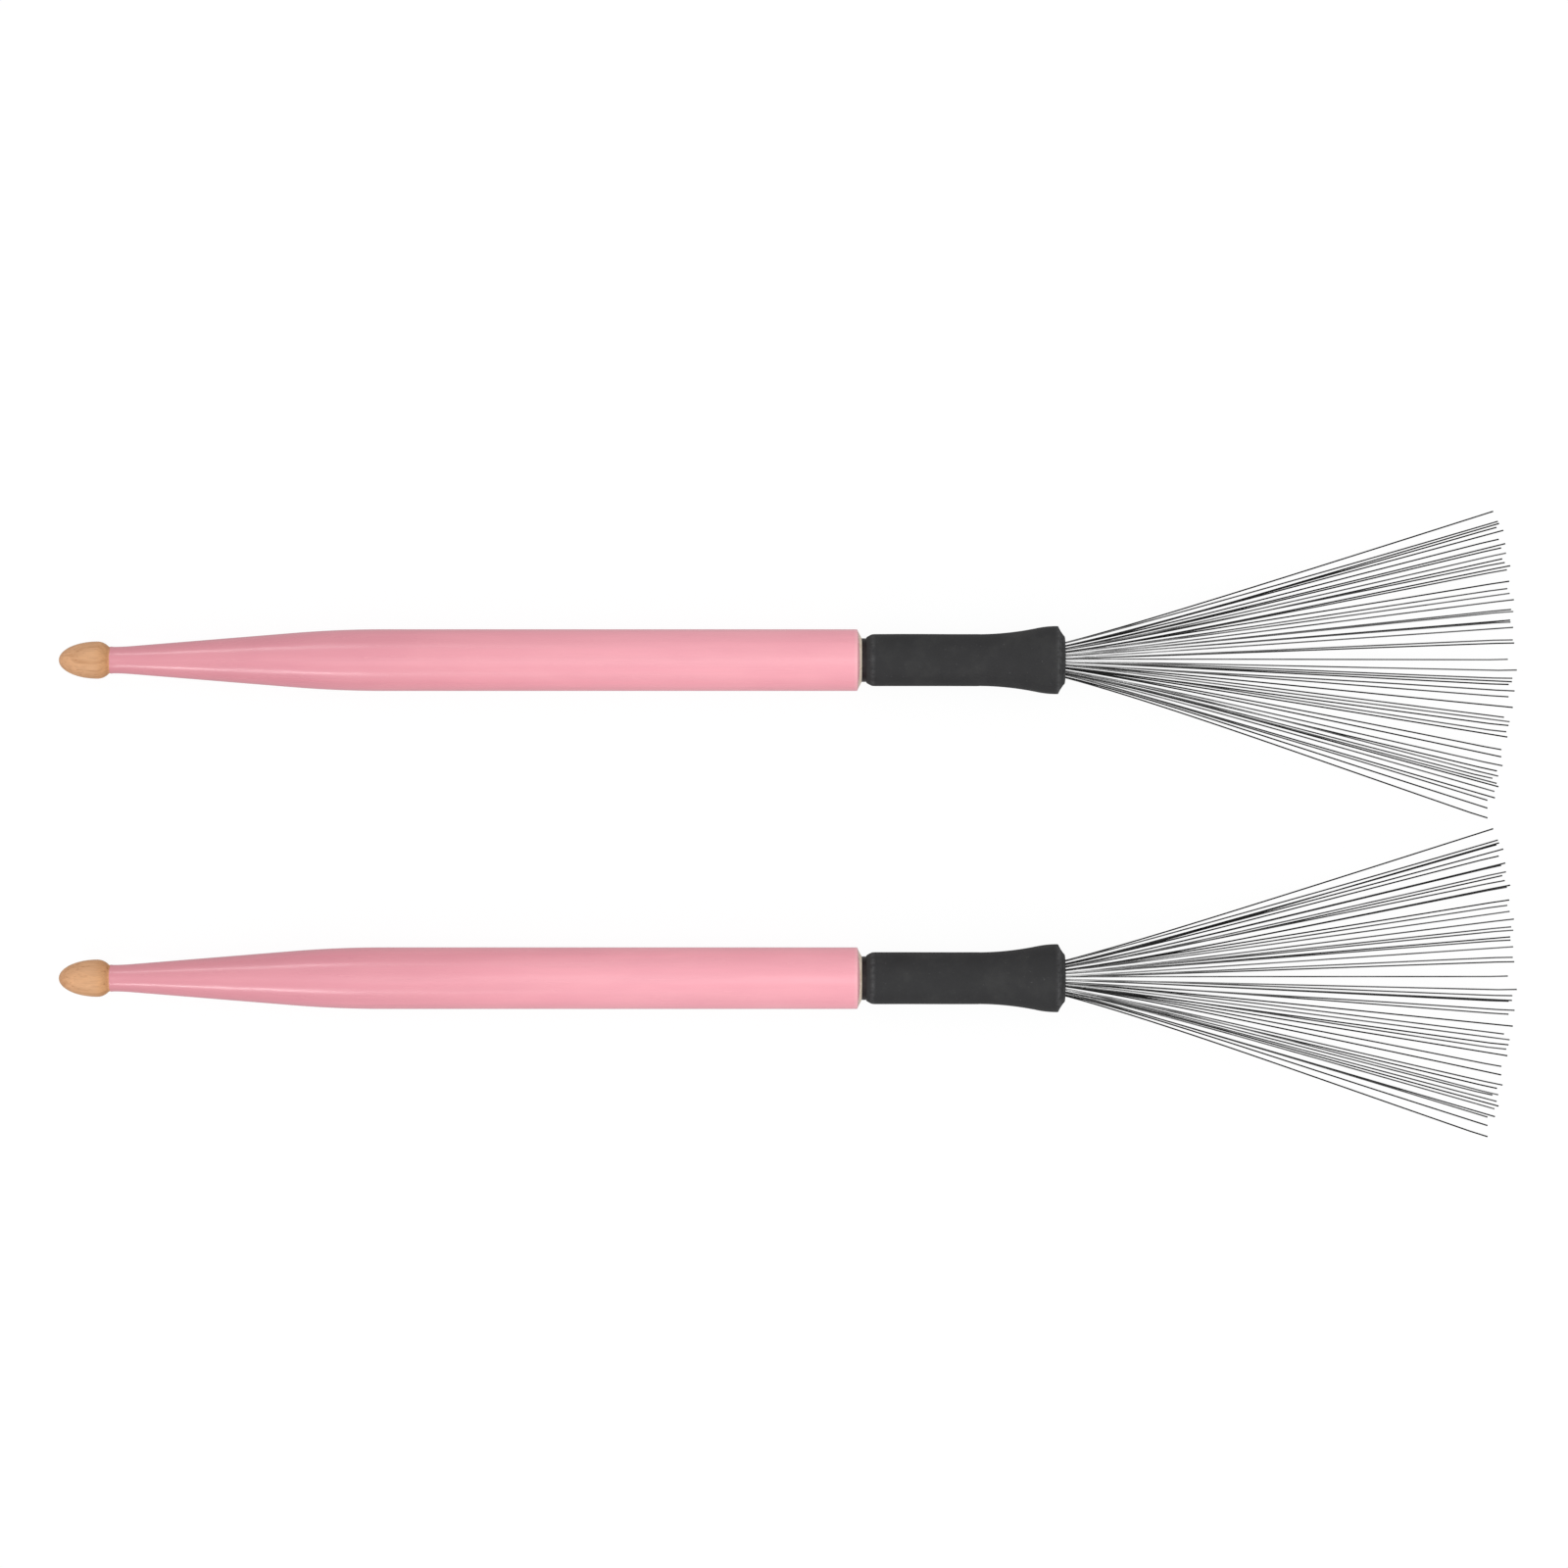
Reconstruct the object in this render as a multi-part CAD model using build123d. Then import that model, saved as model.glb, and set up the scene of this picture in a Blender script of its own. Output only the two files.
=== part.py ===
"""A pair of wire drum brushes with drumstick handles.

Each brush is a turned wooden drumstick. A black tube is glued into its butt and
carries a fan of steel wires, and a rubber grip sleeve slides along the tube:
pushed forward, its mouth gathers the wires. All sizes are in millimetres.

Frame: +X from the drumstick tip to the wire ends, +Z up, and the origin on the
surface that the pair lies on, under the middle of its box. Stations along a
brush (names ending in _x) are counted from the end of the drumstick tip.
"""
from build123d import *
from math import asin, cos, degrees, radians, sin
import os
import random

# --- the pair -------------------------------------------------------------
overall_length = 340.0
axis_spacing = 74.3  # between the two brushes, side by side

# --- wooden stick ---------------------------------------------------------
stick_radius = 7.2
nose_length, nose_radius = 9.0, 4.35  # half ellipse at the end of the tip
shoulder_round = 3.55  # behind its widest place the tip rolls in to the neck
neck_radius, neck_x = 3.1, 14.8  # the neck's line meets the taper here
taper_x = 65.3  # the taper's line meets the cylinder here
neck_round, taper_round = 49.0, 256.0
butt_edge_x, butt_x, butt_round = 186.5, 187.6, 0.5
tube_socket = 20.0  # depth of the bore that the tube is glued into

# --- guide tube and its stop ring -----------------------------------------
tube_radius, tube_bore = 5.1, 4.2
tube_front_x = 229.0
ring_width, ring_radius, ring_seat, ring_gap = 1.6, 5.5, 4.8, 1.4
ring_x = 226.9  # rear face of the ring

# --- rubber grip sleeve ---------------------------------------------------
sleeve_travel = 6.0
running_clearance = 0.05
end_play = 0.2  # left between the stop ring and its recess at each limit
sleeve_back_x, sleeve_chamfer = 188.6, 1.4
sleeve_edge_radius, sleeve_radius = 5.35, 6.05
flare_x, flare_turn_x, rim_x = 214.6, 228.5, 233.0
rim_radius, rim_land, rim_round = 7.95, 0.3, 0.25
lip_x, lip_radius = 234.6, 5.95  # foot of the low dome round the mouth
face_hollow, dome_round = 20.0, 2.2
mouth_x, mouth_radius = 235.0, 5.05
mouth_wall = 3.1  # length of the narrow bore at the mouth

# --- clamp that holds the wires -------------------------------------------
bush_x, bush_front_x, bush_bore = 215.0, 228.0, 3.6
clamp_x, clamp_front_x = 213.5, 230.1
slot_play, slot_round = 0.05, 1.0
root_x, root_front_x = 207.0, 230.3

# --- wires ----------------------------------------------------------------
wire_radius = 0.165
bend_x = 230.5  # the wires bend here, just in front of the clamp
wire_length = 110.3  # the longest, from the bend to its free end
wire_uneven = 0.9  # how unevenly the ends are cut
scatter_seed = 12
cut_slant = 0.02  # the cut runs off square, shorter towards the right-hand side
column_pitch, layer_pitch = 0.53, 0.75
layer_count, layer_spread = 5, radians(1.15)
closing = 0.55  # share of its angle that a column gives up to the sleeve
# One row per upright column of wires, from the right-hand side to the left: how
# far its wire ends stand to the left of the brush's axis. They lie in uneven
# groups, as springy wires do.
columns = [
    (-37.0, -34.6),
    (-32.8, -32.2, -30.7, -29.6),
    (-28.8, -27.8, -27.2, -26.0, -24.8),
    (-22.6, -21.0, -18.0, -16.9, -15.5),
    (-14.4, -13.3, -11.1, -8.6, -7.4),
    (-5.7, -5.1, -4.3, -2.6),
    (0.2, 4.0, 4.9, 7.5),
    (9.0, 9.5, 11.4, 12.0, 14.0),
    (15.6, 17.0, 18.4, 21.3, 21.9),
    (22.9, 23.9, 25.0, 26.4, 27.0),
    (28.6, 30.2, 31.2, 31.7),
    (32.3, 34.9),
]
# Which layers a column fills, in the order in which its ends stand side by side.
layer_order = {2: (3, 1), 4: (0, 3, 1, 4), 5: (2, 0, 3, 1, 4)}

# --- worked out from the above --------------------------------------------
axis_height = rim_radius
sleeve_bore = tube_radius + running_clearance
recess_radius = ring_radius + running_clearance
recess_front_x = ring_x + ring_width + end_play
recess_back_x = ring_x - sleeve_travel - end_play
fan_left, fan_right = columns[-1][-1], columns[0][0]
pair_shift = -(fan_left + fan_right) / 2  # centres the pair's box on the origin
wire_align = (Align.CENTER, Align.CENTER, Align.MIN)


def turned(*outline):
    """A solid turned about the X axis from a closed outline of edges."""
    return revolve(make_face(Curve() + list(outline)), Axis.X)


def bar(x0, x1, radius, bore=0.0):
    """A round bar or tube along the X axis, from x0 to x1."""
    ring = Plane.YZ.offset(x0) * Circle(radius)
    if bore:
        ring -= Plane.YZ.offset(x0) * Circle(bore)
    return extrude(ring, x1 - x0)


def make_stick():
    """Tip, neck, long taper, cylinder and a butt bored for the tube."""
    drop = shoulder_round - nose_radius + neck_radius
    neck_foot_x = nose_length + (shoulder_round**2 - drop**2) ** 0.5
    nose = EllipticalCenterArc(
        (nose_length, 0), nose_length, nose_radius, start_angle=90, arc_size=90
    )
    shoulder = RadiusArc(
        (nose_length, nose_radius), (neck_foot_x, neck_radius), shoulder_round
    )
    body = FilletPolyline(
        (neck_foot_x, neck_radius),
        (neck_x, neck_radius),
        (taper_x, stick_radius),
        (butt_edge_x, stick_radius),
        (butt_x, tube_radius),
        radius=[neck_round, taper_round, butt_round],
    )
    butt = Polyline((butt_x, tube_radius), (butt_x, 0), (0, 0))
    socket = bar(butt_x - tube_socket, butt_x, tube_radius)
    return turned(nose, shoulder, body, butt) - socket


def make_guide_tube():
    """Black tube: its groove holds the stop ring."""
    tube = bar(butt_x - tube_socket, tube_front_x, tube_radius, tube_bore)
    return tube - bar(ring_x, ring_x + ring_width, tube_radius, ring_seat)


def make_stop_ring():
    """Split ring in the tube's groove: the sleeve's recess runs over it."""
    ring = bar(ring_x, ring_x + ring_width, ring_radius, ring_seat)
    cut_x = ring_x + ring_width / 2
    return ring - Pos(cut_x, 0, -ring_radius) * Box(2 * ring_width, ring_gap, ring_radius)


def make_grip_sleeve():
    """Rubber sleeve: a plain grip that flares to a rim, with a domed mouth."""
    back = Polyline(
        (sleeve_back_x, sleeve_bore),
        (sleeve_back_x, sleeve_edge_radius),
        (sleeve_back_x + sleeve_chamfer, sleeve_radius),
        (flare_x, sleeve_radius),
    )
    # two arcs, level at both ends, that meet on one slope
    part_way = (flare_turn_x - flare_x) / (rim_x - flare_x)
    turn_radius = sleeve_radius + part_way * (rim_radius - sleeve_radius)
    turn = (flare_turn_x, turn_radius)
    hollow = TangentArc((flare_x, sleeve_radius), turn, tangent=(1, 0))
    swell = TangentArc(turn, (rim_x, rim_radius), tangent=hollow % 1)
    rim_end = (rim_x + rim_land, rim_radius)
    edge = RadiusArc(rim_end, (rim_end[0] + rim_round, rim_radius - rim_round), rim_round)
    face = RadiusArc(edge @ 1, (lip_x, lip_radius), -face_hollow)
    dome = RadiusArc((lip_x, lip_radius), (mouth_x, mouth_radius), dome_round)
    inside = Polyline(
        (mouth_x, mouth_radius),
        (mouth_x - mouth_wall, mouth_radius),
        (mouth_x - mouth_wall, sleeve_bore),
        (recess_front_x, sleeve_bore),
        (recess_front_x, recess_radius),
        (recess_back_x, recess_radius),
        (recess_back_x, sleeve_bore),
        (sleeve_back_x, sleeve_bore),
    )
    land = Line((rim_x, rim_radius), rim_end)
    return turned(back, hollow, swell, land, edge, face, dome, inside)


def make_clamp_bush():
    """Brass bush pressed into the front of the tube."""
    return bar(bush_x, bush_front_x, tube_bore, bush_bore)


def slot_size():
    """Width and height of the flat slot that the packed wires fill."""
    width = (len(columns) - 1) * column_pitch + 2 * (wire_radius + slot_play)
    height = (layer_count - 1) * layer_pitch + 2 * (wire_radius + slot_play)
    return width, height


def make_wire_clamp():
    """Steel ferrule, crimped to a flat slot round the wires."""
    slot = Plane.YZ.offset(clamp_x) * RectangleRounded(*slot_size(), slot_round)
    return bar(clamp_x, clamp_front_x, bush_bore) - extrude(slot, clamp_front_x - clamp_x)


def column_y(column):
    """How far a column of wires stands to the left of the brush's axis."""
    return (column - (len(columns) - 1) / 2) * column_pitch


def layer_z(layer):
    """How high a layer of wires stands above the brush's axis."""
    return (layer - (layer_count - 1) / 2) * layer_pitch


def make_wire_roots():
    """The straight clamped ends of all the wires."""
    length = root_front_x - root_x
    roots = []
    for column, ends in enumerate(columns):
        for layer in layer_order[len(ends)]:
            root = Pos(root_x, column_y(column), layer_z(layer)) * Rot(0, 90, 0)
            roots.append(root * Cylinder(wire_radius, length, align=wire_align))
    return roots


def make_wires(column, scatter):
    """The free wires of one column, fanned out from the clamp."""
    ends = columns[column]
    wires = []
    for end_y, layer in zip(ends, layer_order[len(ends)]):
        length = wire_length - cut_slant * (fan_left - end_y)
        length -= wire_uneven * scatter.random()
        turn = asin((end_y - column_y(column)) / length)
        climb = layer_z(layer) / layer_pitch * layer_spread
        run = (cos(climb) * cos(turn), cos(climb) * sin(turn), sin(climb))
        foot = Plane((bend_x, column_y(column), layer_z(layer)), z_dir=run)
        wires.append(foot * Cylinder(wire_radius, length, align=wire_align))
    return wires


def closing_turn(column):
    """How far, in radians, a column turns when the sleeve is fully forward."""
    middle = (columns[column][0] + columns[column][-1]) / 2 - column_y(column)
    return -closing * asin(middle / wire_length)


def export(shapes, name, side_y):
    """Writes one node, moved to its brush's place."""
    place = Pos(-overall_length / 2, side_y, axis_height)
    shapes = shapes if isinstance(shapes, list) else [shapes]
    solids = [place * solid for shape in shapes for solid in shape.solids()]
    whole = solids[0] if len(solids) == 1 else Compound(children=solids)
    whole.label = name
    export_step(whole, f"parts/{name}.step")


def main():
    os.makedirs("parts", exist_ok=True)
    makers = {
        "stick": make_stick,
        "guide_tube": make_guide_tube,
        "stop_ring": make_stop_ring,
        "grip_sleeve": make_grip_sleeve,
        "clamp_bush": make_clamp_bush,
        "wire_clamp": make_wire_clamp,
        "wire_roots": make_wire_roots,
    }
    scatter = random.Random(scatter_seed)
    fan = [make_wires(column, scatter) for column in range(len(columns))]
    once = {name: make() for name, make in makers.items()}
    for side, sign in (("a", 1), ("b", -1)):
        side_y = sign * axis_spacing / 2 + pair_shift
        for name, shape in once.items():
            export(shape, f"{name}_{side}", side_y)
        for column, wires in enumerate(fan):
            export(wires, f"wires_{side}_{column + 1:02d}", side_y)
    for column in range(len(columns)):
        turn = degrees(closing_turn(column))
        print(f"column {column + 1:02d} at y {column_y(column):.3f} turns {turn:.3f} degrees")


main()
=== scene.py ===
"""The looks of a pair of wire drum brushes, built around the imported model.

Stations along a brush are in millimetres from the end of the drumstick tip, and
radii in millimetres from the brush's axis. A turned piece is drawn from such
stations, then put on its brush's axis in metres.
"""

import math
import random

import bpy
import numpy as np
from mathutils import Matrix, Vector


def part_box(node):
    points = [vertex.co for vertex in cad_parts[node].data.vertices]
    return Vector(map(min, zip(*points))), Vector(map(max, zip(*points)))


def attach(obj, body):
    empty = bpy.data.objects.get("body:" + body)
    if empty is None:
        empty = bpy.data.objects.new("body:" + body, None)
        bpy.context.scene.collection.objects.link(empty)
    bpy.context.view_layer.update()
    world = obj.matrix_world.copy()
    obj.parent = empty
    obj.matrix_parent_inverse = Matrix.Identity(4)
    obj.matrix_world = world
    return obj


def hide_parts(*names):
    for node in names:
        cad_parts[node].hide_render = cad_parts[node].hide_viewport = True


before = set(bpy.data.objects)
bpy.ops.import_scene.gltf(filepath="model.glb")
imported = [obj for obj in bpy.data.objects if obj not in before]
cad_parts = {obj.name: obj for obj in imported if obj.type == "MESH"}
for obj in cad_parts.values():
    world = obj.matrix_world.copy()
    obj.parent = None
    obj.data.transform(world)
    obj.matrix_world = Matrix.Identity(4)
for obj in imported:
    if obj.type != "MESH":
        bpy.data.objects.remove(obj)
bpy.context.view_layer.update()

MM = 0.001
SIDES = ("a", "b")
TURN_STEPS = 96  # facets round a turned piece

# --- places, from the frame -----------------------------------------------
stick_low, stick_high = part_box("stick_a")
tip_x = stick_low.x
axis_z = (stick_low.z + stick_high.z) / 2
axis_y = {side: sum(p.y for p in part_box(f"stick_{side}")) / 2 for side in SIDES}

# --- the stick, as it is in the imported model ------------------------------
NOSE_LENGTH, NOSE_RADIUS, SHOULDER_ROUND = 9.0, 4.35, 3.55
NECK_RADIUS, NECK_X, NECK_BLEND = 3.1, 14.8, 2.0
STICK_RADIUS, TAPER_X, TAPER_BLEND = 7.2, 65.3, 10.4
BUTT_EDGE_X, BUTT_X = 186.5, 187.6
SOCKET_DEPTH = 20.0
PAINT_START_X, PAINT_THICKNESS = 11.95, 0.06
PAINT_LAP = 0.36  # how far down the slanted butt edge the paint reaches
NECK_WANDER, BUTT_WANDER, BUTT_SKEW = 0.16, 0.05, 0.2  # how unevenly the paint ends
PAINT_TONE_X, BUTT_TONE_X = 12.0, 187.0  # the stick's colours change between these

# --- tube and grip sleeve -------------------------------------------------
TUBE_RADIUS, TUBE_BORE, TUBE_FRONT_X = 5.1, 4.2, 229.0
RING_X, RING_WIDTH, RING_SEAT = 226.9, 1.6, 4.8
SLEEVE_BACK_X, SLEEVE_EDGE, SLEEVE_RADIUS, SLEEVE_CHAMFER = 188.6, 5.35, 6.05, 1.4
FLARE_X, FLARE_TURN_X, RIM_X, RIM_RADIUS, RIM_LAND = 214.6, 228.5, 233.0, 7.95, 0.3
LIP_X, LIP_RADIUS, MOUTH_X, MOUTH_RADIUS, MOUTH_WALL = 234.6, 5.95, 235.0, 5.05, 3.1
SLEEVE_BORE, RECESS_RADIUS, RECESS_BACK_X, RECESS_FRONT_X = 5.15, 5.55, 220.7, 228.7
GRIP_START_X = 190.6  # the plain grip's first ring, in front of the chamfer
WEAR_START_X, WEAR_FADE, WEAR_DEPTH = 190.4, 4.0, 0.006
FLASH_WIDTH, FLASH_HEIGHT = 0.02, 0.03  # parting line: radians wide, mm high
UNDERSIDE = 0.8  # a ring's underside starts this share of its radius down

# --- wires ----------------------------------------------------------------
COLUMNS = 12  # of wires, in each brush
WIRE_SIDES, WIRE_STEPS = 10, 34
STEP_CROWDING = 1.35  # above 1, the steps along a wire are closer by the mouth
WIRE_OVERLAP = 0.3  # how far a wire reaches back into its root
BOW_SHARE, BOW_SPREAD, BOW_LENGTH = 0.36, 0.14, 14.0  # it slopes less as it leaves
SWAY, LIFT = 0.3, 0.25  # most that a wire strays sideways and upwards
KINK_LENGTH = 4.0  # some wires turn inwards over this length, at the free end
CUT_STEPS = (0.9, 0.45, 0.2, 0.0)  # last points, counted back from the free end
CUT_RADII, CUT_SQUEEZE = (1.0, 0.98, 0.85), (1.02, 1.08, 1.15)  # slightly pinched
UPPER_BRIGHT, LOWER_BRIGHT = 0.25, 0.6  # share of light wires in each column
PAINTED_LIGHT_LENGTH = 60.0  # painted light: the wires are painted brighter at the mouth, where the sleeve shades them, and darker out to here


# ==========================================================================
# Materials
# ==========================================================================
class Finish:
    """A node material, with short calls for the nodes that it is made of."""

    def __init__(self, name, roughness=0.5, metallic=0.0, **sockets):
        self.material = bpy.data.materials.new(name)
        self.material.use_nodes = True
        self.tree = self.material.node_tree
        self.shader = self.tree.nodes["Principled BSDF"]
        self.shader.inputs["Roughness"].default_value = roughness
        self.shader.inputs["Metallic"].default_value = metallic
        for socket, value in sockets.items():
            self.shader.inputs[socket.replace("_", " ")].default_value = value
        self.place = self.add("ShaderNodeTexCoord").outputs["Object"]

    def add(self, kind, settings=None, **sockets):
        node = self.tree.nodes.new(kind)
        for name, value in (settings or {}).items():
            setattr(node, name, value)
        for name, value in sockets.items():
            self.feed(node.inputs[name.replace("_", " ")], value)
        return node

    def feed(self, socket, value):
        if isinstance(value, bpy.types.NodeSocket):
            self.tree.links.new(value, socket)
        else:
            socket.default_value = value

    def stretched(self, scale):
        """The place, scaled along each axis: what a texture reads."""
        return self.add("ShaderNodeMapping", Vector=self.place, Scale=scale).outputs[0]

    def noise(self, scale, detail=3.0, rough=0.5, distortion=0.0):
        """Noise from 0 to 1, with its grains per metre along X, Y and Z."""
        node = self.add(
            "ShaderNodeTexNoise",
            Vector=self.stretched(scale),
            Scale=1.0,
            Detail=detail,
            Roughness=rough,
            Distortion=distortion,
        )
        return node.outputs["Fac"]

    def ramp(self, value, *stops):
        """A colour or grey that follows value through (position, colour) stops."""
        node = self.add("ShaderNodeValToRGB", Fac=value)
        elements = node.color_ramp.elements
        while len(elements) < len(stops):
            elements.new(0.5)
        for element, (position, colour) in zip(elements, stops):
            element.position = position
            element.color = colour if len(colour) == 4 else (*colour, 1.0)
        return node.outputs["Color"]

    def along(self, start_mm, end_mm):
        """0 to 1 along the brush, between two stations."""
        split = self.add("ShaderNodeSeparateXYZ", Vector=self.place)
        node = self.add("ShaderNodeMapRange", Value=split.outputs["X"])
        node.inputs["From Min"].default_value = tip_x + start_mm * MM
        node.inputs["From Max"].default_value = tip_x + end_mm * MM
        return node.outputs["Result"]

    def product(self, first, second):
        node = self.add("ShaderNodeMath", {"operation": "MULTIPLY"})
        self.feed(node.inputs[0], first)
        self.feed(node.inputs[1], second)
        return node.outputs["Value"]

    def mix(self, factor, first, second, how="MIX"):
        node = self.add("ShaderNodeMix", {"data_type": "RGBA", "blend_type": how})
        self.feed(node.inputs[0], factor)
        self.feed(node.inputs[6], first)
        self.feed(node.inputs[7], second)
        return node.outputs[2]

    def bump(self, height, distance_mm, strength=1.0, under=None):
        node = self.add(
            "ShaderNodeBump", Height=height, Distance=distance_mm * MM, Strength=strength
        )
        if under is not None:
            self.feed(node.inputs["Normal"], under)
        return node.outputs["Normal"]

    def done(self, colour, roughness=None, normal=None):
        self.feed(self.shader.inputs["Base Color"], colour)
        if roughness is not None:
            self.feed(self.shader.inputs["Roughness"], roughness)
        if normal is not None:
            self.feed(self.shader.inputs["Normal"], normal)
        return self.material


def srgb(red, green, blue):
    """A colour given as 0 to 255 screen values, as the linear values nodes use."""
    def linear(value):
        value /= 255
        return value / 12.92 if value <= 0.04045 else ((value + 0.055) / 1.055) ** 2.4

    return (linear(red), linear(green), linear(blue), 1.0)


def grey(value):
    return (value, value, value, 1.0)


def pink_paint():
    """Matte pink lacquer: duskier at the neck, with painted light on the slanted butt
    edge, and the grain showing faintly.
    """
    paint = Finish("pink_paint", roughness=0.24, Specular_IOR_Level=0.5)
    base = paint.ramp(
        paint.along(PAINT_TONE_X, BUTT_TONE_X),
        (0.0, srgb(221, 147, 157)),
        (0.25, srgb(226, 150, 162)),
        (0.5, srgb(240, 162, 174)),
        (0.75, srgb(247, 170, 182)),
        (0.993, srgb(249, 171, 183)),
        # painted light: the paint on the slanted butt edge is brightened, since that edge
        # faces away from the light
        (1.0, srgb(255, 196, 200)),
    )
    grain = paint.noise((22, 420, 420), detail=5, rough=0.6)
    grain_tone = paint.ramp(grain, (0.3, grey(0.94)), (0.7, grey(1.0)))
    cloud = paint.noise((60, 160, 160), detail=2)
    cloud_tone = paint.ramp(cloud, (0.35, (0.975, 0.95, 0.965)), (0.65, grey(1.0)))
    colour = paint.mix(1.0, base, grain_tone, "MULTIPLY")
    colour = paint.mix(1.0, colour, cloud_tone, "MULTIPLY")
    gloss = paint.ramp(grain, (0.3, grey(0.32)), (0.7, grey(0.20)))
    ripple = paint.noise((160, 330, 330), detail=2)
    peel = paint.noise((900, 1300, 1300), detail=2)
    normal = paint.bump(ripple, 0.12, 0.5)
    normal = paint.bump(grain, 0.05, 0.5, under=normal)
    normal = paint.bump(peel, 0.015, 0.35, under=normal)
    return paint.done(colour, gloss, normal)


def bare_wood():
    """Turned hickory: lengthwise figure, fine fibres and dark pores, with painted shade at
    the neck and painted light on the butt edge.
    """
    wood = Finish("bare_wood", roughness=0.55, Specular_IOR_Level=0.35)
    tint_with_painted_light = wood.ramp(
        wood.along(0, BUTT_TONE_X),
        (0.0, srgb(211, 160, 119)),
        (0.045, srgb(211, 161, 119)),
        # painted shade: a darker band where the tip's shoulder turns away from the light
        (0.062, srgb(207, 152, 104)),
        (0.2, srgb(214, 168, 128)),
        (0.9, srgb(247, 214, 196)),
        # pale end wood on the slanted butt edge, brightened further as painted light,
        # since that edge faces away from the light
        (1.0, srgb(255, 238, 218)),
    )
    figure = wood.noise((55, 480, 480), detail=4, rough=0.55, distortion=1.2)
    figure_tone = wood.ramp(
        figure, (0.32, (0.84, 0.78, 0.70)), (0.5, grey(1.0)), (0.68, (1.12, 1.12, 1.10))
    )
    fibre = wood.noise((180, 3400, 3400), detail=4, rough=0.65)
    fibre_tone = wood.ramp(fibre, (0.35, grey(0.90)), (0.62, grey(1.0)))
    pores = wood.noise((300, 2600, 2600), detail=1)
    pore_tone = wood.ramp(pores, (0.27, (0.70, 0.60, 0.50)), (0.36, grey(1.0)))
    colour = wood.mix(1.0, tint_with_painted_light, figure_tone, "MULTIPLY")
    colour = wood.mix(1.0, colour, fibre_tone, "MULTIPLY")
    colour = wood.mix(0.8, colour, pore_tone, "MULTIPLY")
    gloss = wood.ramp(fibre, (0.3, grey(0.62)), (0.7, grey(0.48)))
    return wood.done(colour, gloss, wood.bump(fibre, 0.05, 0.6))


def grip_rubber():
    """Matte moulded rubber: faint bloom, fine grain, and edges paler in patches."""
    rubber = Finish("grip_rubber", roughness=0.7, Specular_IOR_Level=0.22)
    bloom = rubber.noise((150, 150, 150), detail=5, rough=0.62)
    base = rubber.ramp(
        bloom,
        (0.3, srgb(43, 43, 44)),
        (0.5, srgb(48, 48, 49)),
        (0.72, srgb(58, 58, 58)),
    )
    dust = rubber.noise((1500, 1500, 1500), detail=3, rough=0.75)
    specks = rubber.ramp(dust, (0.66, grey(0.0)), (0.74, grey(0.7)))
    colour = rubber.mix(specks, base, srgb(92, 92, 93))
    rub = rubber.noise((500, 900, 900), detail=4, rough=0.7)
    patches = rubber.ramp(rub, (0.35, grey(0.0)), (0.65, grey(0.75)))
    # the paler band of each edge starts at the first station and is palest at the second
    pale_edges = (
        (RIM_X - 0.5, RIM_X + 0.45),
        (RIM_X + 1.3, RIM_X + 0.65),
        (SLEEVE_BACK_X + 2.2, SLEEVE_BACK_X + 1.45),
        (LIP_X - 0.35, LIP_X + 0.1),
    )
    for start, worst in pale_edges:
        before, after = rubber.along(start, worst), rubber.along(2 * worst - start, worst)
        pale_band = rubber.product(rubber.product(before, after), patches)
        colour = rubber.mix(pale_band, colour, srgb(84, 84, 85))
    grain = rubber.noise((2600, 2600, 2600), detail=4, rough=0.7)
    gloss = rubber.ramp(bloom, (0.3, grey(0.62)), (0.7, grey(0.80)))
    normal = rubber.bump(bloom, 0.12, 0.4)
    normal = rubber.bump(grain, 0.05, 0.9, under=normal)
    return rubber.done(colour, gloss, normal)


def black_anodised():
    """Black anodised aluminium, with fine turning lines and a warm cast."""
    tube = Finish("black_anodised", roughness=0.38, metallic=0.5)
    lines = tube.noise((9000, 60, 60), detail=2)
    wear = tube.noise((700, 700, 700), detail=4, rough=0.7)
    colour = tube.ramp(
        wear, (0.35, srgb(24, 16, 18)), (0.62, srgb(36, 25, 26)), (0.8, srgb(66, 52, 50))
    )
    gloss = tube.ramp(lines, (0.3, grey(0.32)), (0.7, grey(0.48)))
    return tube.done(colour, gloss, tube.bump(lines, 0.01, 0.6))


def drawn_metal(name, dark, light, roughness, metallic=1.0):
    """Metal wire or turned metal, with streaks along it and small dull spots."""
    metal = Finish(name, roughness=roughness, metallic=metallic)
    streaks = metal.noise((35, 2600, 2600), detail=4, rough=0.6)
    spots = metal.noise((1400, 1400, 1400), detail=3, rough=0.65)
    base = metal.ramp(streaks, (0.3, dark), (0.7, light))
    dull = metal.ramp(spots, (0.30, grey(0.72)), (0.45, grey(1.0)))
    colour = metal.mix(1.0, base, dull, "MULTIPLY")
    low, high = roughness * 0.8, min(roughness * 1.3, 1.0)
    gloss = metal.ramp(spots, (0.35, grey(high)), (0.6, grey(low)))
    return metal.done(colour, gloss, metal.bump(streaks, 0.008, 0.5))


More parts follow.
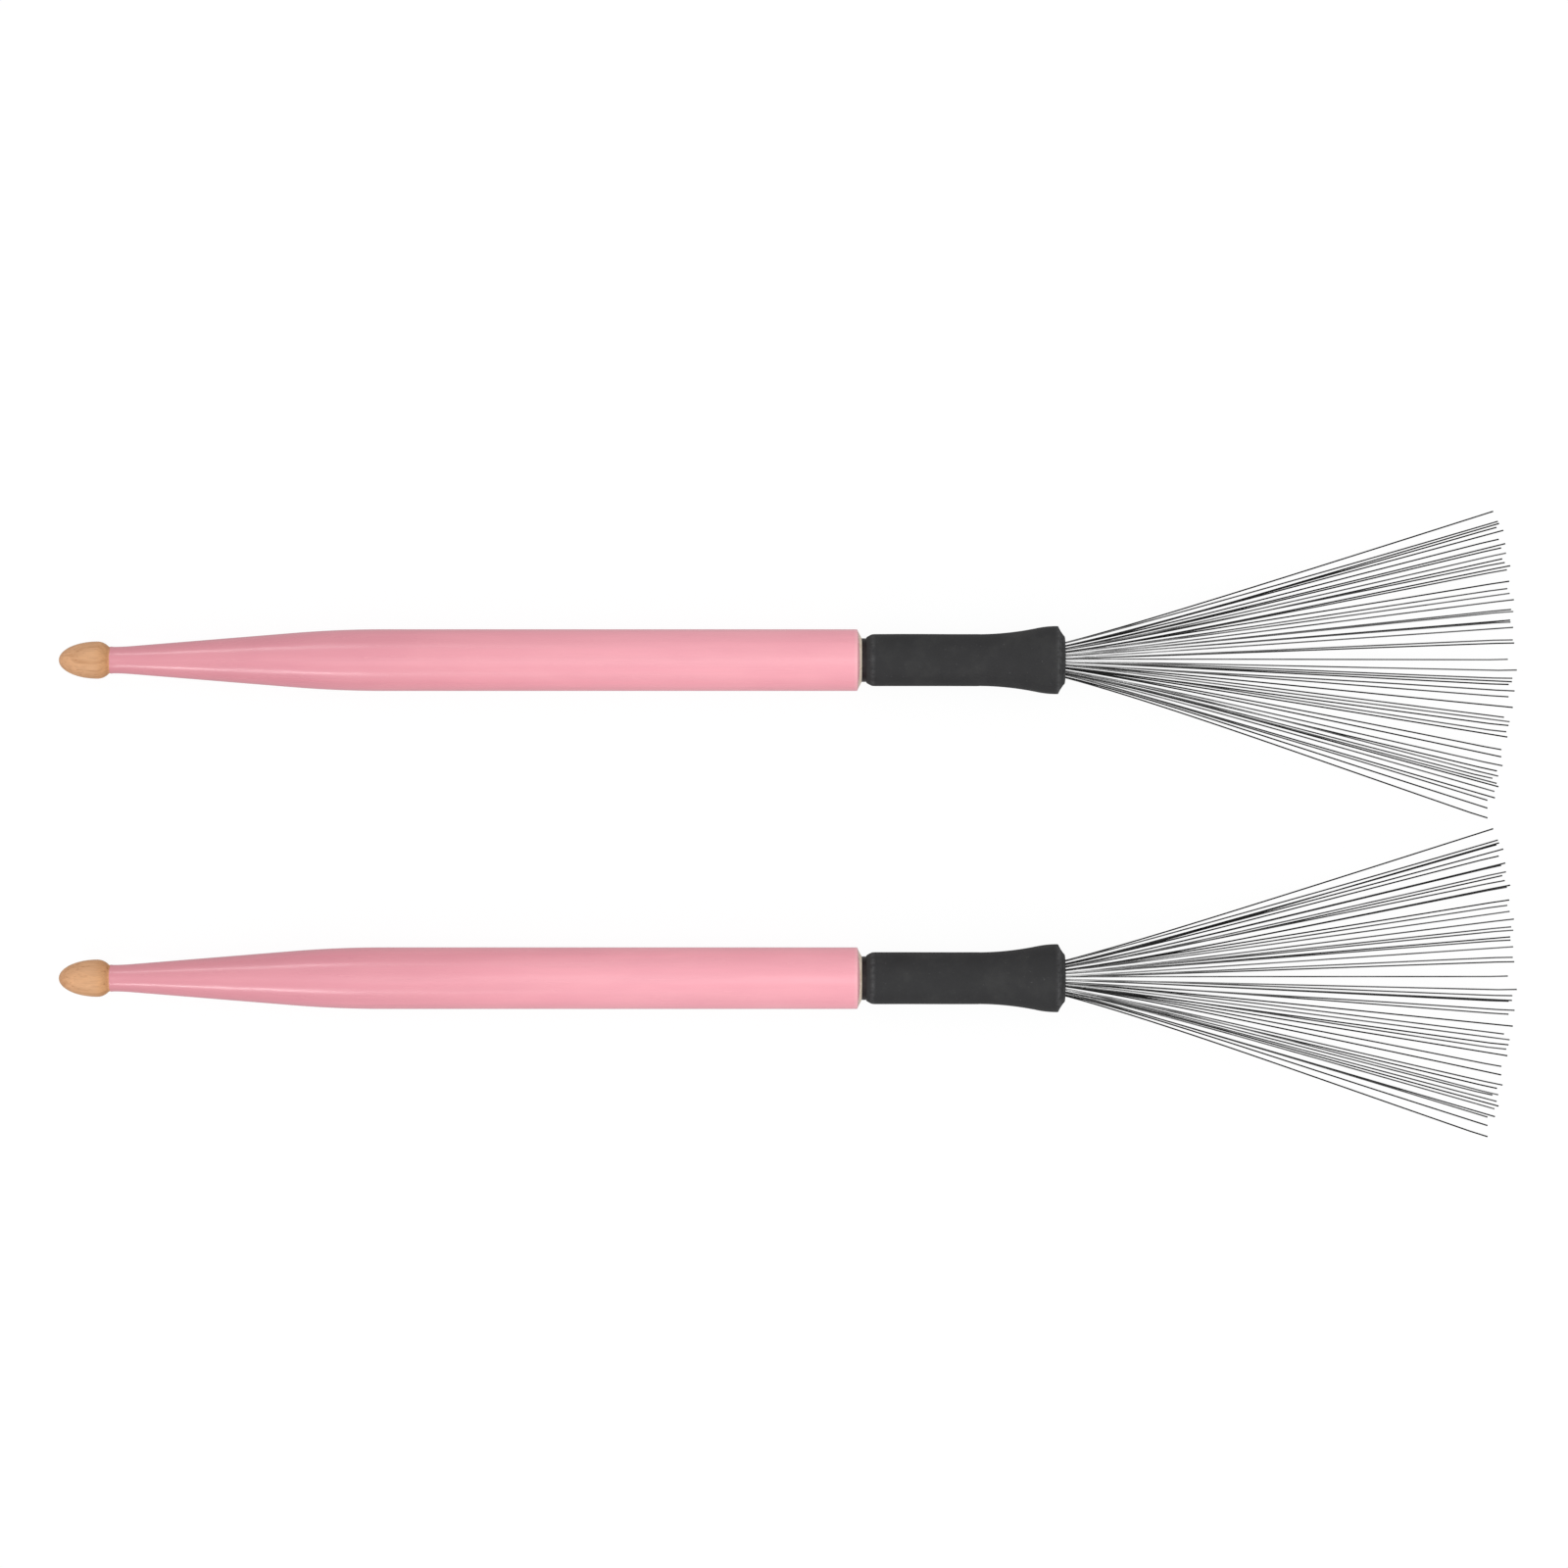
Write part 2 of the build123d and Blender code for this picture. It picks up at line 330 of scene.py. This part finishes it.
def wire_metal():
    """Drawn steel: each wire has its own shade, and painted light makes the wires brighter
    by the mouth, where the sleeve shades them.
    """
    wire = Finish("wire", roughness=0.4, metallic=0.8)
    own = wire.add("ShaderNodeAttribute", {"attribute_name": "tone"}).outputs["Fac"]
    base = wire.ramp(
        own,
        (0.0, grey(0.008)),
        (0.44, grey(0.03)),
        (0.56, grey(0.45)),
        (1.0, grey(0.85)),
    )
    stain = wire.noise((70, 500, 500), detail=3, rough=0.6)
    stain_tone = wire.ramp(
        stain, (0.34, grey(0.35)), (0.58, grey(1.0)), (0.75, grey(1.25))
    )
    drawn = wire.noise((90, 5000, 5000), detail=2)
    # painted light: brighter at the mouth, where the sleeve shades the wires, and darker
    # farther out
    painted_mouth_light = wire.ramp(
        wire.along(MOUTH_X, MOUTH_X + PAINTED_LIGHT_LENGTH),
        (0.0, grey(1.2)),
        (0.2, grey(0.85)),
        (0.5, grey(0.38)),
        (1.0, grey(0.22)),
    )
    colour = wire.mix(1.0, base, stain_tone, "MULTIPLY")
    colour = wire.mix(1.0, colour, painted_mouth_light, "MULTIPLY")
    gloss = wire.ramp(stain, (0.35, grey(0.55)), (0.6, grey(0.34)))
    return wire.done(colour, gloss, wire.bump(drawn, 0.006, 0.5))


finishes = {
    "paint": pink_paint(),
    "wood": bare_wood(),
    "grip_rubber": grip_rubber(),
    "black_anodised": black_anodised(),
    "wire": wire_metal(),
    "wire_steel": drawn_metal("wire_steel", grey(0.06), grey(0.15), 0.42, 0.8),
    "clamp_steel": drawn_metal("clamp_steel", grey(0.38), grey(0.52), 0.35),
    "spring_steel": drawn_metal("spring_steel", grey(0.10), (0.14, 0.15, 0.19, 1), 0.3),
    "clamp_brass": drawn_metal(
        "clamp_brass", (0.46, 0.30, 0.09, 1), (0.68, 0.47, 0.18, 1), 0.3
    ),
}


# ==========================================================================
# Mesh making
# ==========================================================================
def make_piece(name, vertices, faces, finish, body, slot, nodes, sharp=35, tones=None):
    """A smooth-shaded mesh that rides on a body and stands for CAD nodes.

    tones gives each vertex a shade of its own, from 0 to 1.
    """
    mesh = bpy.data.meshes.new(name)
    mesh.from_pydata(vertices, [], faces)
    mesh.validate()
    if tones:
        layer = mesh.attributes.new("tone", "FLOAT", "POINT")
        layer.data.foreach_set("value", tones)
    mesh.shade_smooth()
    mesh.set_sharp_from_angle(angle=math.radians(sharp))
    mesh.materials.append(finishes[finish])
    piece = bpy.data.objects.new(name, mesh)
    bpy.context.scene.collection.objects.link(piece)
    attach(piece, body)
    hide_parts(*nodes)
    return piece


def turned_mesh(profile, side, wobble=None):
    """Vertices and faces of a closed outline of (station, radius) turned round.

    An outline that starts and ends on the axis closes there with one point. Any
    other outline joins its last ring to its first, as a tube does. wobble(point
    number, turn) gives how far a point moves along the axis and away from it.
    """
    vertices, faces, rings = [], [], []
    for number, (station, radius) in enumerate(profile):
        x = tip_x + station * MM
        if radius < 1e-6:
            rings.append([len(vertices)] * TURN_STEPS)
            vertices.append((x, axis_y[side], axis_z))
            continue
        rings.append(list(range(len(vertices), len(vertices) + TURN_STEPS)))
        for step in range(TURN_STEPS):
            turn = 2 * math.pi * step / TURN_STEPS
            along, out = wobble(number, turn) if wobble else (0.0, 0.0)
            y = axis_y[side] + (radius + out) * MM * math.cos(turn)
            z = axis_z + (radius + out) * MM * math.sin(turn)
            vertices.append((x + along * MM, y, z))
    pairs = list(zip(rings, rings[1:]))
    if len(rings[0]) == len(set(rings[0])):
        pairs.append((rings[-1], rings[0]))
    for first, second in pairs:
        for step in range(TURN_STEPS):
            after = (step + 1) % TURN_STEPS
            corners = (first[step], second[step], second[after], first[after])
            faces.append(tuple(dict.fromkeys(corners)))
    return vertices, faces


def arc(start, end, bulge, steps=8):
    """Points from start to end on an arc that stands bulge proud of the chord."""
    (x0, r0), (x1, r1) = start, end
    points = []
    for step in range(1, steps):
        share = step / steps
        rise = 4 * bulge * share * (1 - share)
        length = math.hypot(x1 - x0, r1 - r0)
        points.append(
            (
                x0 + (x1 - x0) * share - rise * (r1 - r0) / length,
                r0 + (r1 - r0) * share + rise * (x1 - x0) / length,
            )
        )
    return [start, *points, end]


def eased(distance, blend):
    """0 before a corner, distance after it, and a smooth turn round it."""
    if distance <= -blend:
        return 0.0
    if distance >= blend:
        return distance
    return (distance + blend) ** 2 / (4 * blend)


def stick_radius(station):
    """The stick's outer radius: tip, neck, taper and cylinder."""
    if station <= NOSE_LENGTH:
        return NOSE_RADIUS * math.sqrt(1 - (1 - station / NOSE_LENGTH) ** 2)
    slope = (STICK_RADIUS - NECK_RADIUS) / (TAPER_X - NECK_X)
    shaft = NECK_RADIUS + slope * eased(station - NECK_X, NECK_BLEND)
    shaft -= slope * eased(station - TAPER_X, TAPER_BLEND)
    rolled = max(0.0, SHOULDER_ROUND**2 - (station - NOSE_LENGTH) ** 2)
    return max(shaft, NOSE_RADIUS - SHOULDER_ROUND + math.sqrt(rolled))


def butt_edge(share, depth=0.0):
    """A point on the slanted butt edge: 0 at its outside, 1 at the tube's hole."""
    run, drop = BUTT_X - BUTT_EDGE_X, STICK_RADIUS - TUBE_RADIUS
    length = math.hypot(run, drop)
    x, radius = BUTT_EDGE_X + run * share, STICK_RADIUS - drop * share
    return x - depth * drop / length, radius - depth * run / length


def stations(start, end, step):
    count = max(1, round((end - start) / step))
    return [start + (end - start) * i / count for i in range(count + 1)]


# ==========================================================================
# Pieces
# ==========================================================================
def make_wood(side):
    """The bare stick: the tip, the core under the paint and the bored butt."""
    nose = [NOSE_LENGTH * (1 - math.cos(math.pi / 2 * i / 24)) for i in range(1, 25)]
    shoulder = stations(NOSE_LENGTH + 0.2, PAINT_START_X - 0.05, 0.2)
    profile = [(0.0, 0.0)]
    profile += [(s, stick_radius(s)) for s in nose + shoulder]
    under = PAINT_THICKNESS
    start = PAINT_START_X + 0.3
    profile += [(s, stick_radius(s) - under) for s in stations(start, 80, 1.5)]
    profile += [(s, STICK_RADIUS - under) for s in stations(82, BUTT_EDGE_X - 0.4, 6)]
    edge = (BUTT_EDGE_X - 0.15, STICK_RADIUS - under)
    profile += arc(edge, butt_edge(0.2, under), 0.06, 6)
    profile += [butt_edge(0.65, under), butt_edge(0.95, under)]
    profile += [(BUTT_X - under, TUBE_RADIUS + 0.02), (BUTT_X - 0.15, TUBE_RADIUS)]
    profile += [(BUTT_X - SOCKET_DEPTH, TUBE_RADIUS), (BUTT_X - SOCKET_DEPTH, 0.0)]
    mesh = turned_mesh(profile, side)
    make_piece(f"stick_wood_{side}", *mesh, "wood", f"brush_{side}", "lacquered_wood",
               [f"stick_{side}"])


def make_paint(side):
    """The paint film: it laps a little unevenly at the neck and at the butt."""
    rng = random.Random(f"paint {side}")
    waves = [
        (n, rng.uniform(-1, 1), rng.uniform(0, 2 * math.pi)) for n in (2, 3, 5, 8, 13)
    ]

    def wander(turn, size):
        return size * sum(a * math.sin(n * turn + p) / n for n, a, p in waves)

    skin = PAINT_THICKNESS
    outer = [(PAINT_START_X + s, NECK_RADIUS + bead)
             for s, bead in ((0.06, -0.03), (0.1, 0.04), (0.25, 0.07), (0.5, 0.04))]
    outer += [(s, stick_radius(s)) for s in stations(PAINT_START_X + 0.9, 80, 1.0)]
    outer += [(s, STICK_RADIUS) for s in stations(82, BUTT_EDGE_X - 0.4, 4)]
    outer += arc((BUTT_EDGE_X - 0.15, STICK_RADIUS), butt_edge(0.12), 0.05, 6)
    outer += [butt_edge(PAINT_LAP - 0.06), butt_edge(PAINT_LAP, 0.03)]
    inner = [butt_edge(PAINT_LAP - 0.02, 1.5 * skin)]
    inner += [(BUTT_EDGE_X - 0.3, STICK_RADIUS - 2.5 * skin)]
    inner += [(s, stick_radius(s) - 2 * skin) for s in stations(180, PAINT_START_X, 12)]
    profile = outer + inner
    last = len(profile) - 1
    at_butt = range(len(outer) - 2, len(outer) + 1)
    slant = (STICK_RADIUS - TUBE_RADIUS) / (BUTT_X - BUTT_EDGE_X)

    def wobble(number, turn):
        if number in (0, 1, 2, last):
            return wander(turn, NECK_WANDER), 0.0
        if number in at_butt:
            along = wander(turn + 1.3, BUTT_WANDER) - BUTT_SKEW * math.cos(2 * turn)
            return along, -slant * along
        return 0.0, 0.0

    mesh = turned_mesh(profile, side, wobble)
    make_piece(f"paint_film_{side}", *mesh, "paint", f"brush_{side}", "lacquered_wood",
               [f"stick_{side}"])


def make_tube(side):
    """The tube that carries the wires, with eased edges and the ring's groove."""
    back = BUTT_X - SOCKET_DEPTH
    ring_end = RING_X + RING_WIDTH
    ease = 0.15
    profile = [(back, TUBE_BORE), (back, TUBE_RADIUS - ease), (back + ease, TUBE_RADIUS)]
    profile += [(s, TUBE_RADIUS) for s in stations(BUTT_X, RING_X, 4)]
    profile += [(RING_X, RING_SEAT), (ring_end, RING_SEAT), (ring_end, TUBE_RADIUS)]
    profile += [(TUBE_FRONT_X - ease, TUBE_RADIUS), (TUBE_FRONT_X, TUBE_RADIUS - ease)]
    profile += [(TUBE_FRONT_X, TUBE_BORE + ease), (TUBE_FRONT_X - ease, TUBE_BORE)]
    mesh = turned_mesh(profile, side)
    make_piece(f"tube_{side}", *mesh, "black_anodised", f"brush_{side}", "black_anodised",
               [f"guide_tube_{side}"])


def sleeve_outline():
    """Outside of the grip: chamfer, plain grip, flare, rim, face and domed mouth.

    The small offsets ease each edge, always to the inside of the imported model.
    """
    share = (FLARE_TURN_X - FLARE_X) / (RIM_X - FLARE_X)
    rise = RIM_RADIUS - SLEEVE_RADIUS
    profile = [
        (SLEEVE_BACK_X, SLEEVE_BORE + 0.04),
        (SLEEVE_BACK_X + 0.03, SLEEVE_EDGE - 0.05),
    ]
    profile += arc(
        (SLEEVE_BACK_X + 0.10, SLEEVE_EDGE + 0.01),
        (SLEEVE_BACK_X + SLEEVE_CHAMFER - 0.15, SLEEVE_RADIUS - 0.06),
        0.03,
        5,
    )
    profile += [(SLEEVE_BACK_X + SLEEVE_CHAMFER + 0.05, SLEEVE_RADIUS - 0.01)]
    profile += [(s, SLEEVE_RADIUS) for s in stations(GRIP_START_X, FLARE_X, 0.8)]
    for s in stations(FLARE_X + 0.6, RIM_X, 0.6):
        t = (s - FLARE_X) / (RIM_X - FLARE_X)
        if t < share:
            profile.append((s, SLEEVE_RADIUS + rise * t * t / share))
        else:
            profile.append((s, RIM_RADIUS - rise * (1 - t) ** 2 / (1 - share)))
    rim_end = RIM_X + RIM_LAND
    profile += arc((rim_end, RIM_RADIUS), (rim_end + 0.25, RIM_RADIUS - 0.3), 0.06, 5)
    profile += arc((rim_end + 0.33, RIM_RADIUS - 0.45), (LIP_X, LIP_RADIUS), -0.04, 8)
    dome = (LIP_X + 0.06, LIP_RADIUS - 0.12), (MOUTH_X, MOUTH_RADIUS + 0.22)
    profile += arc(*dome, 0.10, 7)
    profile += arc((MOUTH_X, MOUTH_RADIUS + 0.14), (MOUTH_X - 0.16, MOUTH_RADIUS), 0.03, 4)
    return profile


def make_sleeve(side):
    """The rubber grip: its surface wavers by about a hundredth of a millimetre, and
    the mould's parting line stands a little proud along both sides."""
    rng = random.Random(f"sleeve {side}")
    waves = [
        (rng.choice((1, 2, 3)), rng.uniform(0.05, 0.35), rng.uniform(0, 6.3))
        for _ in range(9)
    ]
    outside = sleeve_outline()
    back_x = MOUTH_X - MOUTH_WALL
    inside = [
        (back_x, MOUTH_RADIUS),
        (back_x, SLEEVE_BORE),
        (RECESS_FRONT_X, SLEEVE_BORE),
        (RECESS_FRONT_X, RECESS_RADIUS),
        (RECESS_BACK_X, RECESS_RADIUS),
        (RECESS_BACK_X, SLEEVE_BORE),
        (SLEEVE_BACK_X + 0.04, SLEEVE_BORE),
    ]
    vertices, faces = turned_mesh(outside + inside, side)
    centre = Vector((0, axis_y[side], axis_z))
    soft = []
    for index, (x, y, z) in enumerate(vertices):
        station = (x - tip_x) / MM
        arm = Vector((0, y, z)) - centre
        outer = index < len(outside) * TURN_STEPS and WEAR_START_X < station < LIP_X
        if not outer:
            soft.append((x, y, z))
            continue
        turn = math.atan2(arm.z, arm.y)
        dent = sum(math.sin(n * turn + k * station + p) for n, k, p in waves)
        wear = WEAR_DEPTH * dent * min(1, (station - WEAR_START_X) / WEAR_FADE)
        flash = sum(
            math.exp(-((abs(turn) - at) / FLASH_WIDTH) ** 2) for at in (0, math.pi)
        )
        scale = 1 + (wear + FLASH_HEIGHT * flash) * MM / arm.length
        # the flare and the underside only shrink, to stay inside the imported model
        if station > FLARE_X or -arm.z / arm.length > UNDERSIDE:
            scale = min(scale, 1.0)
        soft.append((x, *(centre + arm * scale).yz))
    make_piece(f"rubber_grip_{side}", soft, faces, "grip_rubber", f"sleeve_{side}",
               "grip_rubber", [f"grip_sleeve_{side}"])


def wire_ends(node):
    """Clamp end, free end and radius of each wire of a CAD node, the lowest first."""
    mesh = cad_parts[node].data
    places = np.array([v.co for v in mesh.vertices], float)
    parent = list(range(len(places)))

    def root(i):
        while parent[i] != i:
            parent[i] = parent[parent[i]]
            i = parent[i]
        return i

    # vertices in one place, or joined by an edge, belong to one wire
    seen = {}
    for i, point in enumerate(places):
        key = tuple(np.round(point, 7))
        parent[root(i)] = root(seen.setdefault(key, i))
    for edge in mesh.edges:
        a, b = edge.vertices
        parent[root(a)] = root(b)
    groups = {}
    for i in range(len(places)):
        groups.setdefault(root(i), []).append(i)
    ends = []
    for members in groups.values():
        points = np.unique(np.round(places[members], 7), axis=0)
        middle = points[:, 0].mean()
        near, far = points[points[:, 0] < middle], points[points[:, 0] > middle]
        radius = np.linalg.norm(near - near.mean(0), axis=1).max()
        ends.append((near.mean(0), far.mean(0), radius))
    return sorted(ends, key=lambda end: (round(end[0][2], 6), end[0][1]))


def bowed(distance, length, share, reach):
    """How far along its slope a wire is: it leaves flatter, then straightens."""
    def lag(d):
        return share * reach * (1 - math.exp(-d / reach))

    return (distance - lag(distance)) * length / (length - lag(length))


def tube_rings(points, radii, squeeze):
    """Rings round a path: radii and how far each is flattened, one per point."""
    turns = [2 * math.pi * i / WIRE_SIDES for i in range(WIRE_SIDES)]
    rings = []
    for number, point in enumerate(points):
        ahead = points[min(number + 1, len(points) - 1)] - points[max(number - 1, 0)]
        ahead = ahead / np.linalg.norm(ahead)
        across = np.cross(ahead, (0, 0, 1.0))
        across /= np.linalg.norm(across)
        up = np.cross(across, ahead)
        radius, flat = radii[number], squeeze[number]
        rings.append([
            point + radius * (math.cos(turn) * across * flat + math.sin(turn) * up / flat)
            for turn in turns
        ])
    return rings


def wire_path(foot, end, rng):
    """Points along one wire: it bows as it leaves, strays, and may turn in at its end."""
    length = np.linalg.norm(end - foot) / MM
    run = (end - foot) / np.linalg.norm(end - foot)
    share = BOW_SHARE + rng.uniform(-BOW_SPREAD, BOW_SPREAD)
    reach = BOW_LENGTH * rng.uniform(0.75, 1.5)
    sway, sway_turn = rng.uniform(-SWAY, SWAY), rng.uniform(0.8, 1.6)
    lift = rng.uniform(-LIFT, LIFT)
    kink = rng.choice((0, 0, 0, 0.5, 1)) * rng.uniform(0.1, 0.2) * -np.sign(run[1])
    marks = [length * (i / WIRE_STEPS) ** STEP_CROWDING for i in range(WIRE_STEPS)]
    marks += [length - back for back in CUT_STEPS]
    points = [foot - np.array((WIRE_OVERLAP * MM, 0, 0))]
    for mark in marks:
        along = mark / length
        slope = bowed(mark, length, share, reach)
        point = foot + np.array((run[0] * mark, run[1] * slope, run[2] * slope)) * MM
        wave = math.sin(math.pi * along) * along
        point[1] += sway * math.sin(math.pi * sway_turn * along) * (1 - along) * MM
        point[2] += lift * wave * MM
        point[1] += kink * max(0.0, mark - (length - KINK_LENGTH)) / KINK_LENGTH * MM
        points.append(point)
    return points


def wire_tone(upper, rng):
    """A wire's shade: most upper wires are dark, and most lower ones light."""
    bright = rng.random() < (UPPER_BRIGHT if upper else LOWER_BRIGHT)
    return 0.5 * (bright + rng.random())


def make_wires(side, column):
    """One column of wires, each with its own path and shade."""
    node = f"wires_{side}_{column:02d}"
    rng = random.Random(f"fan {column}")
    vertices, faces, tones = [], [], []
    wires = wire_ends(node)
    for number, (foot, end, radius) in enumerate(wires):
        points = wire_path(foot, end, rng)
        tone = wire_tone(number >= len(wires) - 2, rng)
        radii, squeeze = [radius] * len(points), [1.0] * len(points)
        radii[-3:] = [radius * share for share in CUT_RADII]
        squeeze[-3:] = CUT_SQUEEZE
        first = len(vertices)
        rings = tube_rings(points, radii, squeeze)
        tones += [tone] * (len(rings) * WIRE_SIDES)
        for ring in rings:
            vertices += [tuple(p) for p in ring]
        for row in range(len(rings) - 1):
            for i in range(WIRE_SIDES):
                a = first + row * WIRE_SIDES + i
                b = first + row * WIRE_SIDES + (i + 1) % WIRE_SIDES
                faces.append((a, b, b + WIRE_SIDES, a + WIRE_SIDES))
        last = first + (len(rings) - 1) * WIRE_SIDES
        faces.append(tuple(first + i for i in reversed(range(WIRE_SIDES))))
        faces.append(tuple(last + i for i in range(WIRE_SIDES)))
    make_piece(f"bristles_{side}_{column:02d}", vertices, faces, "wire",
               f"bunch_{side}_{column:02d}", "wire_steel", [node], sharp=60, tones=tones)


def paint_cad_nodes(side):
    """The fixed pieces inside the mouth keep their CAD shape and get a finish."""
    for name, finish in (("stop_ring", "spring_steel"), ("clamp_bush", "clamp_brass"),
                         ("wire_clamp", "clamp_steel"), ("wire_roots", "wire_steel")):
        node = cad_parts[f"{name}_{side}"]
        node.data.materials.clear()
        node.data.materials.append(finishes[finish])


# ==========================================================================
# Stage
# ==========================================================================
FLOOR_WHITE = 0.08  # the table's own colour
FLOOR_GLOW, FLOOR_BOUNCE = 0.93, 0.45  # its light to the camera, and to the pieces


def make_camera():
    """Straight above the pair, long lens, as a product is laid out and shot."""
    frame_width, distance = 0.3663, 1.42
    centre_x, centre_y = -0.0006, 0.00926
    camera = bpy.data.cameras.new("camera")
    camera.sensor_width = 36.0
    camera.lens = camera.sensor_width * distance / frame_width
    holder = bpy.data.objects.new("camera", camera)
    holder.location = (centre_x, centre_y, axis_z + distance)
    bpy.context.scene.collection.objects.link(holder)
    bpy.context.scene.camera = holder


def make_floor():
    """A table top that glows white by itself, so that hardly any shadow shows on it."""
    size = 3.0
    mesh = bpy.data.meshes.new("floor")
    corners = [(-size, -size, 0), (size, -size, 0), (size, size, 0), (-size, size, 0)]
    mesh.from_pydata(corners, [], [(0, 1, 2, 3)])
    white = Finish("floor_white", roughness=0.9, Specular_IOR_Level=0.0)
    white.shader.inputs["Emission Color"].default_value = grey(1.0)
    seen = white.add("ShaderNodeLightPath").outputs["Is Camera Ray"]
    glow = white.add("ShaderNodeMapRange", Value=seen)
    glow.inputs["To Min"].default_value = FLOOR_BOUNCE
    glow.inputs["To Max"].default_value = FLOOR_GLOW
    white.feed(white.shader.inputs["Emission Strength"], glow.outputs[0])
    mesh.materials.append(white.done(grey(FLOOR_WHITE)))
    floor = bpy.data.objects.new("floor", mesh)
    bpy.context.scene.collection.objects.link(floor)


def make_light(name, place, target, width, depth, watts):
    light = bpy.data.lights.new(name, "AREA")
    light.shape = "RECTANGLE"
    light.size, light.size_y = width, depth
    light.energy = watts
    holder = bpy.data.objects.new(name, light)
    holder.location = place
    aim = Vector(target) - Vector(place)
    holder.rotation_euler = aim.to_track_quat("-Z", "Y").to_euler()
    holder.visible_camera = False
    bpy.context.scene.collection.objects.link(holder)


def make_lights():
    scene = bpy.context.scene
    scene.view_settings.view_transform = "Standard"
    make_sky(scene)
    for name, across, watts in (("strip_left", 0.80, 1.3), ("strip_right", -0.80, 2.2)):
        make_light(name, (-0.42, across, 0.62), (-0.15, 0, 0), 0.44, 0.05, watts)
    make_light("overhead", (0.05, -0.2, 2.4), (0, 0, 0), 1.4, 1.2, 5.0)


def make_sky(scene):
    """White light from all round, brightest overhead, behind a plain white backdrop."""
    world = bpy.data.worlds.new("studio")
    world.use_nodes = True
    tree = world.node_tree
    place = tree.nodes.new("ShaderNodeTexCoord")
    height = tree.nodes.new("ShaderNodeVectorMath")
    height.operation = "DOT_PRODUCT"
    height.inputs[1].default_value = (0.0, -0.13, 0.985)
    ramp = tree.nodes.new("ShaderNodeValToRGB")
    tree.links.new(place.outputs["Generated"], height.inputs[0])
    tree.links.new(height.outputs["Value"], ramp.inputs[0])
    low, high = ramp.color_ramp.elements
    low.position, low.color = 0.0, grey(0.60)
    high.position, high.color = 0.85, grey(0.92)
    seen = tree.nodes.new("ShaderNodeLightPath")
    backdrop = tree.nodes.new("ShaderNodeMix")
    backdrop.data_type = "RGBA"
    backdrop.inputs[7].default_value = grey(1.0)
    tree.links.new(seen.outputs["Is Camera Ray"], backdrop.inputs[0])
    tree.links.new(ramp.outputs["Color"], backdrop.inputs[6])
    tree.links.new(backdrop.outputs[2], tree.nodes["Background"].inputs["Color"])
    scene.world = world


for side in SIDES:
    make_wood(side)
    make_paint(side)
    make_tube(side)
    make_sleeve(side)
    for column in range(1, COLUMNS + 1):
        make_wires(side, column)
    paint_cad_nodes(side)
make_floor()
make_camera()
make_lights()
